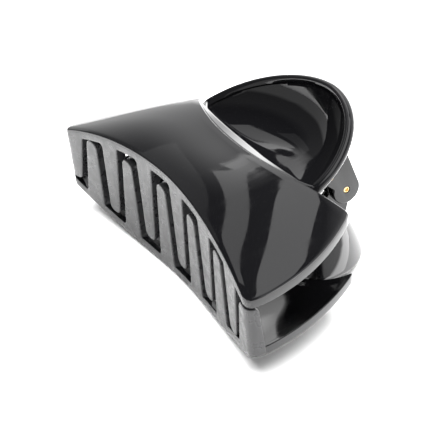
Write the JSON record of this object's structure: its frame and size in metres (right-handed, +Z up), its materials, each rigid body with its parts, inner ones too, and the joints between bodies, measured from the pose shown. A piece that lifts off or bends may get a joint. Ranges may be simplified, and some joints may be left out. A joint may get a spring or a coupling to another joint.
{
  "type": "sectioning clip",
  "caption": "Large curved claw clip for sectioning hair: two interleaving toothed jaws with scooped thumb handles on a sprung hinge pin.",
  "frame": {"origin": "centre of the footprint on the surface the clip rests on", "axes": "+Z up with the clip lying closed on its lower jaw; +Y along the hinge pin and the long tooth line; +X from the teeth towards the hinge and handles"},
  "size_m": [0.0582, 0.0918, 0.0422],
  "materials": {
    "jaw_plastic": "polished, high gloss",
    "pin_brass": "drawn",
    "spring_steel": "drawn wire"
  },
  "bodies": {
    "lower": {"lower_jaw": "jaw_plastic", "hinge_pin": "pin_brass", "torsion_spring": "spring_steel"},
    "upper": {"upper_jaw": "jaw_plastic"}
  },
  "joints": [
    {"name": "jaw_hinge", "type": "hinge", "parent": "lower", "child": "upper", "pos_m": [0.0192, 0, 0.02035], "axis": [0, 1, 0], "range_deg": [0, 60], "stiffness_Nm_per_rad": 0.115, "springref_deg": -40.11, "deforming": ["torsion_spring"]}
  ]
}
